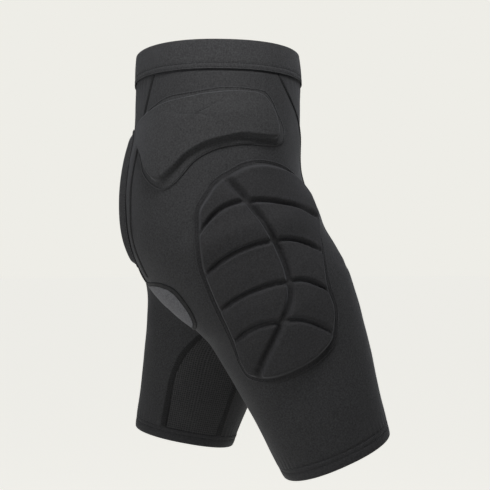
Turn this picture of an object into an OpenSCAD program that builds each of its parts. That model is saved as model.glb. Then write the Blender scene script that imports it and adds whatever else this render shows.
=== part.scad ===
// Padded impact shorts in the shape they hold on a wearer in mid-stride.
// Millimetres. +Z is up, the wearer faces -Y, the wearer's left is +X.
// The origin is the middle of the waist opening, level with the top of the waistband.
// Every surface point is named by a side (-1 right, +1 left), a depth below the
// waist and an angle round the half (0 at the outside, + towards the back).

/* [Waist] */
// Half of the width across the waist opening
waist_half_width = 125; // [105:1:150]
// Half of the depth of the waist opening, front to back
waist_half_depth = 97; // [82:1:118]
// Height of the waistband
band_height = 34; // [25:1:45]
// Thickness of the folded waistband
band_thick = 3.2; // [2.8:0.1:4]

/* [Hips] */
// Half of the width across the hips
hip_half_width = 157; // [130:1:190]
// Reach of the hips in front of the side line
hip_front_depth = 112; // [95:1:130]
// Reach of the seat behind the side line
seat_depth = 117; // [98:1:140]
// Depth of the widest part of the hips below the waist
hip_level = 206; // [185:1:225]
// Depth of the crotch below the waist
crotch_level = 294; // [280:1:310]

/* [Legs] */
// Length from the waist to the hem, straight down
length = 490; // [440:1:590]
// Half of the width across one thigh
thigh_half_width = 75; // [62:1:84]
// Half of the depth of one thigh, front to back
thigh_half_depth = 85; // [72:1:100]
// Half of the width across one hem
hem_half_width = 61; // [52:1:73]
// Half of the depth of one hem, front to back
hem_half_depth = 65; // [55:1:78]
// Sideways distance from the middle to the middle of a leg
leg_spacing = 89; // [86:1:104]
// Height of the hem band
hem_height = 15; // [10:1:24]
// Forward swing of the right leg in degrees
right_swing = 23; // [0:0.5:30]
// Forward swing of the left leg in degrees
left_swing = -11.5; // [-15:0.5:20]

/* [Fabric] */
// Thickness of the stretch fabric
fabric_thick = 1.2; // [0.8:0.1:1.8]
// Gap between two panels under their seam
seam_gap = 0.5; // [0.4:0.1:1]
// Width of a flat seam
seam_width = 7; // [5:0.5:10]
// Height of a flat seam over the fabric
seam_thick = 0.8; // [0.5:0.1:1.4]

/* [Pads] */
// Height of the hip pad over the fabric
hip_pad_height = 11; // [8:0.5:15]
// Height of the thigh pad over the fabric
thigh_pad_height = 9; // [8:0.5:13]
// Height of the tailbone pad over the fabric
tail_pad_height = 11; // [8:0.5:15]
// Length of the tailbone pad
tail_pad_length = 166; // [130:1:174]
// Half of the angle that the tailbone pad covers on each side of the middle
tail_pad_reach = 15; // [11:0.5:17]
// Thickness of a pad's cover
cover_thick = 1; // [0.7:0.1:1.4]
// Clearance between a pad and the fabric, and between foam and cover
pad_gap = 1.2; // [1.2:0.1:1.8]
// Width of the channels between the thigh pad's foam blocks
channel_width = 6; // [4:0.5:9]

/* [Hidden] */

RIGHT = -1;
LEFT = 1;
HIP_Y = -28;            // the hip axis runs along X through this Y
HIP_Z = -hip_level;     // and this Z
SQUARENESS = 2.25;      // exponent of the rings' superellipse
BEND_START = 95;        // depth at which the swing of a leg begins
BEND_END = 275;         // depth at which the whole fabric swings with the leg
STRADDLE = 60;          // distance from the middle over which the swing fades in
TURN_STEP = 0.5;        // step of the angle for slopes, degrees

FABRIC = [0.20, 0.20, 0.21];
PAD = [0.23, 0.23, 0.235];
THREAD = [0.13, 0.13, 0.135];
FOAM = [0.42, 0.42, 0.44];
ELASTIC = [0.75, 0.75, 0.74];

// Depth, value pairs of the straight template: its reach in front of and behind
// the side line, the half width and sideways shift of the ring, and its middle.
knee_side = length - 70;
above_hip = hip_level - 36;
below_hip = hip_level + 44;
under_crotch = crotch_level + 16;
mid_thigh = crotch_level + 50;
FRONT = [[0, waist_half_depth], [band_height, waist_half_depth + 3], [90, waist_half_depth + 1],
    [130, mix(waist_half_depth, hip_front_depth, 0.13)],
    [above_hip, mix(waist_half_depth, hip_front_depth, 0.6)],
    [hip_level, hip_front_depth], [below_hip, mix(thigh_half_depth, hip_front_depth, 0.63)],
    [under_crotch, thigh_half_depth + 9], [mid_thigh, thigh_half_depth + 5],
    [knee_side, mix(thigh_half_depth, hem_half_depth, 0.4)], [length, hem_half_depth]];
REAR = [[0, waist_half_depth], [band_height, waist_half_depth + 2],
    [90, mix(waist_half_depth, seat_depth, 0.25)], [130, mix(waist_half_depth, seat_depth, 0.6)],
    [above_hip, seat_depth - 3], [hip_level, seat_depth], [below_hip, seat_depth - 7],
    [under_crotch, thigh_half_depth + 1], [mid_thigh, thigh_half_depth - 5],
    [knee_side, mix(thigh_half_depth, hem_half_depth, 0.7)], [length, hem_half_depth - 1]];
WIDTH = [[0, waist_half_width], [band_height, waist_half_width + 4],
    [90, mix(waist_half_width, hip_half_width, 0.53)], [150, mix(waist_half_width, hip_half_width, 0.88)],
    [hip_level, hip_half_width], [hip_level + 34, mix(thigh_half_width, hip_half_width, 0.71)],
    [crotch_level - 29, mix(thigh_half_width, hip_half_width, 0.39)],
    [crotch_level, thigh_half_width + 8], [under_crotch, thigh_half_width + 5],
    [mid_thigh, thigh_half_width], [knee_side, mix(thigh_half_width, hem_half_width, 0.5)],
    [length, hem_half_width]];
SHIFT = [[0, 0], [90, 0], [150, 0], [190, 2], [hip_level, 7], [hip_level + 34, leg_spacing * 0.34],
    [crotch_level - 29, leg_spacing * 0.64], [crotch_level, thigh_half_width + 7.5],
    [under_crotch, leg_spacing - 3], [mid_thigh, leg_spacing], [knee_side, leg_spacing + 4],
    [length, leg_spacing + 6]];
MIDDLE = [[0, 0], [90, -1], [above_hip, -4], [hip_level + 24, -12], [under_crotch, -20], [length, -19]];

function mix(a, b, t) = a + (b - a) * t;
function smooth(a, b, v) = let(t = min(max((v - a) / (b - a), 0), 1)) t * t * (3 - 2 * t);
function unit(p) = p / norm(p);

// Smooth curve through stations [position, value]
function slope(st, i) = let(a = max(i - 1, 0), b = min(i + 1, len(st) - 1))
    (st[b][1] - st[a][1]) / (st[b][0] - st[a][0]);
function span(st, v, i = 0) = i >= len(st) - 2 || v < st[i + 1][0] ? i : span(st, v, i + 1);
function curve(st, v) = let(
        u = min(max(v, st[0][0]), st[len(st) - 1][0]), i = span(st, u),
        h = st[i + 1][0] - st[i][0], t = (u - st[i][0]) / h)
    (2 * t * t * t - 3 * t * t + 1) * st[i][1] + (t * t * t - 2 * t * t + t) * h * slope(st, i)
    + (3 * t * t - 2 * t * t * t) * st[i + 1][1] + (t * t * t - t * t) * h * slope(st, i + 1);

// Superellipse in place of a plain cosine or sine
function rounded(c) = sign(c) * pow(abs(c), 2 / SQUARENESS);

function shift(v) = max(0, curve(SHIFT, v));

// A point of the straight template, as [distance from the middle, y, z]
function template(v, th) = let(s = rounded(sin(th)))
    [shift(v) + curve(WIDTH, v) * rounded(cos(th)),
     curve(MIDDLE, v) + (s > 0 ? curve(REAR, v) : curve(FRONT, v)) * s, -v];

// How far a template point swings with the leg, 0 to 1
function swing_share(x, v) = let(away = smooth(0, STRADDLE, abs(x)))
    smooth(BEND_START, BEND_END, v) * mix(smooth(crotch_level, crotch_level + 90, v), 1, away);

// A point of the worn surface
function worn(side, v, th) = let(
        p = template(v, th),
        a = (side < 0 ? right_swing : left_swing) * swing_share(p[0], v),
        y = p[1] - HIP_Y, z = p[2] - HIP_Z)
    [side * p[0], HIP_Y + y * cos(a) + z * sin(a), HIP_Z - y * sin(a) + z * cos(a)];

// Outward direction at a worn point, level with the middle plane where it crosses it
function outward(side, v, th) = let(
        down = worn(side, v + 1, th) - worn(side, v - 1, th),
        round = worn(side, v, th + TURN_STEP) - worn(side, v, th - TURN_STEP),
        n = side * cross(down, round),
        middle = abs(worn(side, v, th)[0]) < 0.05)
    unit(middle ? [0, n[1], n[2]] : n);
function lifted(k, height) = worn(k[0], k[1], k[2]) + height * outward(k[0], k[1], k[2]);

// Degrees round the ring that cover one millimetre
function degrees_per_mm(side, v, th) =
    2 / norm(worn(side, v, th + 1) - worn(side, v, th - 1));

// Angle at which a ring meets the middle plane, and the depth at which an angle does
function middle_angle(v) = acos(-pow(shift(v) / curve(WIDTH, v), SQUARENESS / 2));
function middle_depth(th, low = 150, high = 302, n = 18) = let(m = (low + high) / 2)
    n == 0 ? m
    : template(m, th)[0] < 0 ? middle_depth(th, m, high, n - 1) : middle_depth(th, low, m, n - 1);

// Sheet over a grid of knots [side, depth, angle], between two heights a knot
module sheet(knots, low, high, closed = false) {
    rows = len(knots);
    cols = len(knots[0]);
    inner = [for (i = [0:rows - 1]) for (j = [0:cols - 1]) lifted(knots[i][j], low[i])];
    outer = [for (i = [0:rows - 1]) for (j = [0:cols - 1]) lifted(knots[i][j], high[i])];
    base = rows * cols;
    last = closed ? cols - 1 : cols - 2;
    turn = cross(inner[1] - inner[0], inner[cols] - inner[0]) * (outer[0] - inner[0]) > 0;
    function quad(a, b, c, d) = turn ? [[a, b, c], [a, c, d]] : [[c, b, a], [d, c, a]];
    faces = concat(
        [for (i = [0:rows - 2]) for (j = [0:last]) let(k = (j + 1) % cols)
            each quad(i * cols + j, i * cols + k, (i + 1) * cols + k, (i + 1) * cols + j)],
        [for (i = [0:rows - 2]) for (j = [0:last]) let(k = (j + 1) % cols)
            each quad(base + (i + 1) * cols + j, base + (i + 1) * cols + k,
                      base + i * cols + k, base + i * cols + j)],
        [for (j = [0:last]) let(k = (j + 1) % cols)
            each quad(j, base + j, base + k, k)],
        [for (j = [0:last]) let(k = (j + 1) % cols, r = (rows - 1) * cols)
            each quad(r + k, base + r + k, base + r + j, r + j)],
        closed ? [] : [for (i = [0:rows - 2])
            each quad((i + 1) * cols, base + (i + 1) * cols, base + i * cols, i * cols)],
        closed ? [] : [for (i = [0:rows - 2]) let(a = i * cols + cols - 1, b = a + cols)
            each quad(a, base + a, base + b, b)]);
    polyhedron(concat(inner, outer), faces, convexity = 10);
}
function flat(rows, value) = [for (i = [0:rows]) value];

// Band that runs right round the waist with one cross-section of [depth, height]
module waist_ring(profile, cols = 48) {
    sides = len(profile);
    spots = [for (j = [0:cols - 1]) let(a = -90 + 360 * j / cols)
        a <= 90 ? [RIGHT, a] : [LEFT, 180 - a]];
    points = [for (s = spots) for (p = profile) lifted([s[0], p[0], s[1]], p[1])];
    faces = [for (j = [0:cols - 1]) for (i = [0:sides - 1])
        let(k = (j + 1) % cols, n = (i + 1) % sides,
            a = j * sides + i, b = j * sides + n, c = k * sides + n, d = k * sides + i)
        each [[a, b, c], [a, c, d]]];
    polyhedron(points, faces, convexity = 10);
}

// Depths at which the band and the elastic inside it both have their corners
BAND_STEPS = [3, band_height / 2, band_height - 8];
module waistband() {
    skin = 0.7;
    inner_skin = [for (i = [2:-1:0]) [BAND_STEPS[i], skin]];
    outer_skin = [for (v = BAND_STEPS) [v, band_thick - skin]];
    color(FABRIC) waist_ring(concat(
        [for (i = [2:-1:0]) [BAND_STEPS[i], 0]], [[1, 0], [0, 0.8], [0, band_thick - 0.8], [1, band_thick]],
        [for (v = BAND_STEPS) [v, band_thick]],
        [[band_height, band_thick], [band_height, band_thick - skin]],
        [for (i = [2:-1:0]) outer_skin[i]], [[1.4, band_thick / 2]], [for (i = [0:2]) inner_skin[2 - i]],
        [[band_height, skin], [band_height, 0]]));
}

module waistband_elastic() {
    clear = 1;
    color(ELASTIC) waist_ring(concat([for (i = [2:-1:0]) [BAND_STEPS[i], clear]],
        [for (v = BAND_STEPS) [v, band_thick - clear]]));
}

// Seams between the side panels and the middle panels, as angle by depth
PANEL_TOP = band_height + seam_gap;
REAR_END = hip_level + 22;      // depth at which the rear seam ends
FRONT_END = hip_level + 6;      // depth at which the front seam ends
REAR_CORNER = 71;               // angle at which the rear seam ends
FRONT_CORNER = -80;             // angle at which the front seam ends
REAR_SEAM = [[band_height, 50], [55, 55], [90, 62], [160, 65], [REAR_END, REAR_CORNER]];
FRONT_SEAM = [[band_height, -34], [60, -47], [90, -66], [140, -76], [FRONT_END, FRONT_CORNER]];
SEAT_TIP = hip_level + 49;      // depth at which the back panel meets the gusset
FLY_TIP = hip_level + 39;       // depth at which the front panel meets the gusset
REAR_TIP = middle_angle(SEAT_TIP);
FRONT_TIP = -middle_angle(FLY_TIP);
INNER_SEAM = 171;               // angle of the seam down the inner thigh

// Lower edge of all that stays with the hips, as depth by angle
ROOT_EDGE = [[FRONT_TIP, FLY_TIP], [FRONT_CORNER, FRONT_END], [-60, hip_level - 48],
    [-40, hip_level - 84], [-15, hip_level - 94], [10, hip_level - 92], [30, hip_level - 62],
    [50, hip_level - 22], [REAR_CORNER, REAR_END], [REAR_TIP, SEAT_TIP]];
// Upper edge of all that moves with the leg, as depth by angle
LEG_EDGE = [[INNER_SEAM - 360, crotch_level + 51], [-130, crotch_level + 46], [-100, crotch_level + 36],
    [FRONT_CORNER, hip_level + 94], [-65, hip_level + 70], [-50, hip_level - 14], [-35, hip_level - 68],
    [-20, hip_level - 79], [0, hip_level - 77], [15, hip_level - 60], [25, hip_level - 30],
    [35, hip_level + 44], [50, hip_level + 86], [REAR_CORNER, hip_level + 99], [100, crotch_level + 31],
    [140, crotch_level + 46], [INNER_SEAM, crotch_level + 51]];
GUSSET_WIDTH = 27;              // reach of the gusset down each inner thigh
TIP_REACH = 2.5;                // its reach at its two tips

// Angles at which all edges round a leg have their corners, so that they match
function steps(a, b, n) = [for (i = [0:n - 1]) mix(a, b, i / n)];
FRONT_ANGLES = steps(FRONT_TIP, FRONT_CORNER, 5);
SIDE_ANGLES = steps(FRONT_CORNER, REAR_CORNER, 16);
REAR_ANGLES = steps(REAR_CORNER, REAR_TIP, 4);
CROTCH_ANGLES = concat(steps(REAR_TIP, INNER_SEAM, 6), steps(INNER_SEAM, 360 + FRONT_TIP, 8));
ROUND_ANGLES = concat(steps(INNER_SEAM - 360, FRONT_TIP, 8), FRONT_ANGLES, SIDE_ANGLES,
    REAR_ANGLES, steps(REAR_TIP, INNER_SEAM, 6));

// Edge of the gusset by angle, counted round through 180
function gusset_reach(th) = let(t = (th - REAR_TIP) / (360 + FRONT_TIP - REAR_TIP))
    mix(TIP_REACH, GUSSET_WIDTH, pow(sin(180 * min(max(t, 0), 1)), 0.8));
function root_edge(th) = th > REAR_TIP - 0.01 ? middle_depth(th) + gusset_reach(th)
    : th < FRONT_TIP + 0.01 ? middle_depth(th) + gusset_reach(th + 360)
    : curve(ROOT_EDGE, th) + TIP_REACH * smooth(40, 0, min(th - FRONT_TIP, REAR_TIP - th));

module side_panel(side) {
    rows = 12;
    cols = len(SIDE_ANGLES);
    inset = 0.4;
    knots = [for (i = [0:rows])
        let(first = curve(FRONT_SEAM, mix(PANEL_TOP, FRONT_END, i / rows)) + inset,
            last = curve(REAR_SEAM, mix(PANEL_TOP, REAR_END, i / rows)) - inset)
        [for (j = [0:cols]) let(bottom = mix(FRONT_CORNER + inset, REAR_CORNER - inset, j / cols))
            [side, mix(PANEL_TOP, curve(ROOT_EDGE, bottom) - seam_gap, i / rows),
             mix(first, last, j / cols)]]];
    color(FABRIC) sheet(knots, flat(rows, 0), flat(rows, fabric_thick));
}

// Middle panel, front or back: from one seam through the middle plane to the other.
// angles run along its lower edge, from the tip in the middle out to the seam.
module middle_panel(seam, angles) {
    rows = 12;
    half = len(angles) - 1;
    way = sign(angles[0]);
    knots = [for (i = [0:rows]) [for (j = [-half:half])
        let(out = abs(j) / half, end = angles[abs(j)],
            v = mix(PANEL_TOP, curve(ROOT_EDGE, end) - seam_gap, i / rows),
            middle = way * middle_angle(v),
            level = mix(middle, curve(seam, v) + way * 0.4, out))
        [j < 0 ? RIGHT : LEFT, v, j == 0 ? middle : mix(level, end + out * way * 0.4, pow(i / rows, 4))]]];
    color(FABRIC) sheet(knots, flat(rows, 0), flat(rows, fabric_thick));
}
module back_panel() { middle_panel(REAR_SEAM, [for (i = [4:-1:0]) mix(REAR_CORNER, REAR_TIP, i / 4)]); }
module front_panel() { middle_panel(FRONT_SEAM, [for (i = [5:-1:0]) mix(FRONT_CORNER, FRONT_TIP, i / 5)]); }

// Diamond under the crotch, folded along the middle plane
module gusset() {
    rows = len(CROTCH_ANGLES);
    half = 3;
    knots = [for (th = concat(CROTCH_ANGLES, [360 + FRONT_TIP]))
        [for (j = [-half:half]) let(out = abs(j) / half)
            [j < 0 ? RIGHT : LEFT,
             middle_depth(th) + out * (gusset_reach(th) - seam_gap),
             th <= 180 ? th : th - 360]]];
    color(FABRIC) sheet(knots, flat(rows, 0), flat(rows, fabric_thick));
}

// Stretch part of the side panel over the hip joint, right round the leg
module hip_stretch_panel(side) {
    rows = 7;
    knots = [for (i = [0:rows]) [for (th = ROUND_ANGLES)
        [side, mix(root_edge(th < -180 ? th + 360 : th) + seam_gap,
                   curve(LEG_EDGE, th) - 3 * seam_gap, i / rows), th]]];
    color(FABRIC) sheet(knots, flat(rows, 0), flat(rows, fabric_thick), closed = true);
}

// Edges of the inner thigh mesh by depth; above its top they meet on one seam
MESH_TOP = crotch_level + 52;
LEG_END = length - hem_height;
function mesh_rear(v) = mix(INNER_SEAM, 153, smooth(MESH_TOP - 25, MESH_TOP + 75, v));
function mesh_front(v) = mix(INNER_SEAM, 213, smooth(MESH_TOP - 10, MESH_TOP + 55, v));

// The leg panel's two long edges come together at the inner seam above the mesh
module leg_panel(side) {
    rows = 13;
    cols = len(ROUND_ANGLES);
    inset = 0.4;
    angles = concat(ROUND_ANGLES, [INNER_SEAM]);
    knots = [for (i = [0:rows])
        let(v = mix(curve(LEG_EDGE, INNER_SEAM), LEG_END - seam_gap, i / rows),
            open = i == 0 ? 0 : 1,
            low = inset + open * (mesh_front(v) - INNER_SEAM),
            high = inset + open * (INNER_SEAM - mesh_rear(v)))
        [for (j = [0:cols]) let(t = j / cols)
            [side, mix(curve(LEG_EDGE, angles[j]), LEG_END - seam_gap, i / rows),
             angles[j] + low * pow(1 - t, 6) - high * pow(t, 6)]]];
    color(FABRIC) sheet(knots, flat(rows, 0), flat(rows, fabric_thick));
}

module inner_thigh_mesh(side) {
    rows = 9;
    cols = 6;
    inset = 1.6;
    knots = [for (i = [0:rows]) let(v = mix(MESH_TOP + 8, LEG_END - seam_gap, i / rows))
        [for (j = [0:cols]) [side, v, mix(mesh_rear(v) + inset, mesh_front(v) - inset, j / cols)]]];
    color(FABRIC) sheet(knots, flat(rows, 0.2), flat(rows, fabric_thick - 0.2));
}

module hem_band(side) {
    cols = 44;
    knots = [for (i = [0:2]) [for (j = [0:cols - 1])
        [side, mix(LEG_END, length, i / 2), -180 + 360 * j / cols]]];
    color(FABRIC) sheet(knots, flat(2, -0.4), flat(2, fabric_thick + 0.4), closed = true);
}

// Flat seam along a line of knots, laid on the fabric
module flat_seam(line) {
    low = fabric_thick + 0.5;
    knots = [for (k = line) [for (j = [-1:1])
        [k[0], k[1], k[2] + j * seam_width / 2 * degrees_per_mm(k[0], k[1], k[2])]]];
    sheet(knots, flat(len(line), low), flat(len(line), low + seam_thick));
}
function seam_line(side, seam, end, rows = 16) = [for (i = [0:rows])
    let(v = mix(PANEL_TOP + 1, end - 4, i / rows)) [side, v, curve(seam, v)]];
module front_seam(side) { color(THREAD) flat_seam(seam_line(side, FRONT_SEAM, FRONT_END)); }
module rear_seam(side) { color(THREAD) flat_seam(seam_line(side, REAR_SEAM, REAR_END)); }
module inner_seams(side) {
    rows = 12;
    apart = MESH_TOP + 22;
    depths = [for (i = [0:rows]) mix(apart, LEG_END - 2, i / rows)];
    color(THREAD) {
        flat_seam([for (v = depths) [side, v, mesh_rear(v)]]);
        flat_seam([for (v = depths) [side, v, mesh_front(v) - 360]]);
    }
}

// Closed smooth outline through [depth, angle] points, as a share t of one turn
function loop_point(p, t) = let(
        n = len(p), s = t * n, i = floor(s), u = s - i,
        a = p[(i + n - 1) % n], b = p[i % n], c = p[(i + 1) % n], d = p[(i + 2) % n])
    0.5 * (2 * b + (c - a) * u + (2 * a - 5 * b + 4 * c - d) * u * u + (3 * b - a - 3 * c + d) * u * u * u);

// Pad lofted from its middle out to its outline; heights are above the fabric
module pad(side, outline, middle, shares, low, high, cols = 36) {
    rings = len(shares);
    function knot(p) = side != 0 ? [side, p[0], p[1]]
        : [p[1] < 0 ? RIGHT : LEFT, p[0], middle_angle(p[0]) - abs(p[1])];
    function level(h) = fabric_thick + pad_gap + h;
    spots = [for (s = shares) for (j = [0:cols - 1])
        knot(middle + s * (loop_point(outline, j / cols) - middle))];
    bottom = [for (i = [0:rings * cols - 1]) lifted(spots[i], level(low[floor(i / cols)]))];
    top = [for (i = [0:rings * cols - 1]) lifted(spots[i], level(high[floor(i / cols)]))];
    base = rings * cols;
    points = concat(bottom, top, [lifted(knot(middle), level(low[0])), lifted(knot(middle), level(high[0]))]);
    turn = cross(bottom[1] - bottom[0], bottom[cols] - bottom[0]) * (top[0] - bottom[0]) > 0;
    function tri(a, b, c) = turn ? [a, b, c] : [c, b, a];
    faces = [for (j = [0:cols - 1]) let(k = (j + 1) % cols, e = (rings - 1) * cols) each concat(
        [tri(j, 2 * base, k), tri(base + k, 2 * base + 1, base + j),
         tri(e + k, base + e + k, base + e + j), tri(e + k, base + e + j, e + j)],
        [for (i = [0:rings - 2]) let(a = i * cols) each [
            tri(a + j, a + k, a + cols + k), tri(a + j, a + cols + k, a + cols + j),
            tri(base + a + cols + k, base + a + k, base + a + j),
            tri(base + a + cols + k, base + a + j, base + a + cols + j)]])];
    polyhedron(points, faces, convexity = 10);
}
COVER_SHARES = [0.22, 0.44, 0.64, 0.8, 0.88, 0.93, 1];
function cover_top(h) = [h, h, h, 0.97 * h, 0.8 * h, cover_thick, cover_thick];
function cover_low(h) = [for (t = cover_top(h)) t - cover_thick];
FOAM_SHARES = [0.22, 0.44, 0.64, 0.78, 0.84];
function foam_top(h) = [for (s = [1, 1, 1, 0.92, 0.7]) s * h - cover_thick - 0.5];

// Kidney over the hip bone
HIP_OUTLINE = [[54, -4], [56, -18], [70, -30], [96, -38], [112, -36], [113, -12], [115, 2],
    [128, 14], [145, 24], [152, 33], [144, 46], [120, 56], [90, 57], [70, 45], [60, 20]];
HIP_MIDDLE = [88, 16];
module hip_foam(side) {
    color(FOAM) pad(side, HIP_OUTLINE, HIP_MIDDLE, FOAM_SHARES, flat(4, 0), foam_top(hip_pad_height));
}
module hip_pad_cover(side) {
    color(PAD) pad(side, HIP_OUTLINE, HIP_MIDDLE, COVER_SHARES,
        cover_low(hip_pad_height), cover_top(hip_pad_height));
}

// Tailbone pad, as [depth, degrees from the middle plane]
TAIL_CENTRE = [hip_level - 36, 0];
TAIL_OUTLINE = [for (i = [0:15]) let(a = 22.5 * i)
    TAIL_CENTRE + [tail_pad_length / 2 * cos(a), tail_pad_reach * rounded(sin(a))]];
module tail_foam() {
    color(FOAM) pad(0, TAIL_OUTLINE, TAIL_CENTRE, FOAM_SHARES, flat(4, 0), foam_top(tail_pad_height), 32);
}
module tail_pad_cover() {
    color(PAD) pad(0, TAIL_OUTLINE, TAIL_CENTRE, COVER_SHARES,
        cover_low(tail_pad_height), cover_top(tail_pad_height), 32);
}

// Thigh pad: a curved spine channel, and a rim behind and in front of it.
// Each is a list of [row, depth] and [row, angle], where whole rows are the cross channels.
SPINE_DEPTH = [[0, 146], [1, 183], [2, 230], [3, 278], [4, 315], [5, 364]];
SPINE_ANGLE = [[0, -8], [1, -9], [2, -14], [3, -9], [4, 3], [5, 32]];
BACK_DEPTH = [[0, 144], [0.5, 168], [1, 203], [2, 238], [3, 278], [4, 318], [5, 356]];
BACK_ANGLE = [[0, -4], [0.5, 11], [1, 17], [2, 24], [3, 34], [4, 45], [5, 49]];
FORE_DEPTH = [[0, 140], [0.5, 170], [1, 217], [2, 269], [3, 312], [4, 350], [5, 373]];
FORE_ANGLE = [[0, -22], [0.5, -50], [1, -53], [2, -40], [3, -35], [4, -25], [5, 14]];
THIGH_OUTLINE = concat([for (t = [0:0.5:5]) [curve(BACK_DEPTH, t), curve(BACK_ANGLE, t)]], [[371, 33]],
    [for (t = [5:-0.5:0]) [curve(FORE_DEPTH, t), curve(FORE_ANGLE, t)]], [[137, -12]]);
THIGH_MIDDLE = [256, -6];
FLANGE = 18;            // from the rim to the foam blocks at the sides
END_FLANGE = 27;        // from the rim to the foam blocks at the two ends
BLOCK_LONG = 46;        // usual length of a block along the spine
BLOCK_WIDE = 62;        // usual width from the spine to the rim
ARCH = 0.18;            // rise of the cross channels between spine and rim, in rows
UNDERLAY = 0.8;         // room for the lining between the leg and the thigh pad

// One block between two cross channels, e runs from the spine to the rim
module thigh_block(side, row, rim_depth, rim_angle) {
    steps = 3;
    channel = channel_width / 2 / BLOCK_LONG;
    first = row + (row == 0 ? END_FLANGE / BLOCK_LONG + ARCH : channel);
    last = row + 1 - (row == 4 ? END_FLANGE / BLOCK_LONG : channel);
    function knot(t, e) = let(a = t - ARCH * 4 * e * (1 - e))
        [side, mix(curve(SPINE_DEPTH, a), curve(rim_depth, a), e),
         mix(curve(SPINE_ANGLE, a), curve(rim_angle, a), e)];
    knots = [for (i = [0:steps]) [for (j = [0:steps])
        knot(mix(first, last, i / steps),
             mix(channel_width / 2 / BLOCK_WIDE, 1 - FLANGE / BLOCK_WIDE, j / steps))]];
    edge = thigh_pad_height * 0.55 - cover_thick;
    top = thigh_pad_height - cover_thick - 1.5;
    lift = fabric_thick + pad_gap;
    sheet(knots, flat(steps, lift + UNDERLAY), [for (i = [0:steps]) lift + (i % steps == 0 ? edge : top)]);
}
module thigh_foam(side) {
    color(FOAM) for (row = [0:4]) {
        thigh_block(side, row, BACK_DEPTH, BACK_ANGLE);
        thigh_block(side, row, FORE_DEPTH, FORE_ANGLE);
    }
}
module thigh_pad_cover(side) {
    rise = thigh_pad_height;
    edge = cover_thick + UNDERLAY;
    tops = [rise, rise, rise, rise, rise, rise, 0.95 * rise, edge, edge];
    color(PAD) pad(side, THIGH_OUTLINE, THIGH_MIDDLE, [0.14, 0.28, 0.42, 0.55, 0.68, 0.79, 0.885, 0.93, 1],
        [for (t = tops) t - cover_thick], tops, 40);
}

waistband();
waistband_elastic();
front_panel();
back_panel();
gusset();
tail_foam();
tail_pad_cover();
side_panel(RIGHT);  // right_side_panel
side_panel(LEFT);  // left_side_panel
front_seam(RIGHT);  // right_front_seam
front_seam(LEFT);  // left_front_seam
rear_seam(RIGHT);  // right_rear_seam
rear_seam(LEFT);  // left_rear_seam
hip_foam(RIGHT);  // right_hip_foam
hip_foam(LEFT);  // left_hip_foam
hip_pad_cover(RIGHT);  // right_hip_pad_cover
hip_pad_cover(LEFT);  // left_hip_pad_cover
hip_stretch_panel(RIGHT);  // right_hip_stretch_panel
hip_stretch_panel(LEFT);  // left_hip_stretch_panel
leg_panel(RIGHT);  // right_leg_panel
leg_panel(LEFT);  // left_leg_panel
inner_thigh_mesh(RIGHT);  // right_inner_thigh_mesh
inner_thigh_mesh(LEFT);  // left_inner_thigh_mesh
inner_seams(RIGHT);  // right_inner_seams
inner_seams(LEFT);  // left_inner_seams
hem_band(RIGHT);  // right_hem_band
hem_band(LEFT);  // left_hem_band
thigh_foam(RIGHT);  // right_thigh_foam
thigh_foam(LEFT);  // left_thigh_foam
thigh_pad_cover(RIGHT);  // right_thigh_pad_cover
thigh_pad_cover(LEFT);  // left_thigh_pad_cover
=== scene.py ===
import bmesh
import bpy
import numpy as np
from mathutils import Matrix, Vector
from mathutils.kdtree import KDTree


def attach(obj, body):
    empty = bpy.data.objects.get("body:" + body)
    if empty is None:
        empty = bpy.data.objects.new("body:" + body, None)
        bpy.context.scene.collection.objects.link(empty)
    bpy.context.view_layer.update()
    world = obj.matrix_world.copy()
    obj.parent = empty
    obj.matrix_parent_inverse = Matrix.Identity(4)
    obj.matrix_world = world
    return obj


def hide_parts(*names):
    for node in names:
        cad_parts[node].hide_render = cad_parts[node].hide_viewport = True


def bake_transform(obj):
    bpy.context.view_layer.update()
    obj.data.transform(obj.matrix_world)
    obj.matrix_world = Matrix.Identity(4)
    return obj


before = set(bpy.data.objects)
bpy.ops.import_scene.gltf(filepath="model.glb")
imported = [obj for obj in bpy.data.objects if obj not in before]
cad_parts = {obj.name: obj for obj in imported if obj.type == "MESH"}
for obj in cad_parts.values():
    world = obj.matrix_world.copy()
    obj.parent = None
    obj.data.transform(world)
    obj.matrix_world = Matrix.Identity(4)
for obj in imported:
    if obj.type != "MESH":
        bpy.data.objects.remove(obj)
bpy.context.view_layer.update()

MM = 0.001

# ---- Studio -------------------------------------------------------------------------------
# A level camera at the wearer's right, a little towards the rear. A soft lamp above the near side,
# a weak one in front, one low behind and a broad one on the far side. The floor and room are pale.
scene = bpy.context.scene
scene.view_settings.view_transform = "Standard"


def aimed(obj, spot):
    """Object linked and turned so that its -Z axis points at a spot."""
    direction = Vector(spot) - obj.location
    obj.rotation_euler = direction.to_track_quat("-Z", "Y").to_euler()
    scene.collection.objects.link(obj)
    return obj


camera = bpy.data.objects.new("camera", bpy.data.cameras.new("camera"))
camera.location = (-1.1735, 0.0883, -0.229)
camera.data.sensor_width = 36
camera.data.lens = 69.4
camera.data.clip_end = 60
scene.camera = aimed(camera, (0, -0.035, -0.229))

LAMPS = {
    "key": ((-0.52, -0.06, 0.58), (-0.08, 0, -0.1), 0.4, 0.32, 6.0),
    "front_rim": ((-0.35, -1.7, 0.25), (0, -0.05, -0.25), 0.6, 0.9, 1.6),
    "back_rim": ((-1.05, 1.3, -0.1), (0, 0.05, -0.22), 0.6, 0.9, 10.0),
    "far_side": ((1.7, -0.2, 0.6), (0, 0, -0.25), 1.4, 1.4, 11.0),
}
for lamp_name, (place, spot, width, height, power) in LAMPS.items():
    light = bpy.data.lights.new(lamp_name, "AREA")
    light.shape = "RECTANGLE"
    light.size = width
    light.size_y = height
    light.energy = power
    lamp = bpy.data.objects.new(lamp_name, light)
    lamp.location = place
    aimed(lamp, spot)

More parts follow.
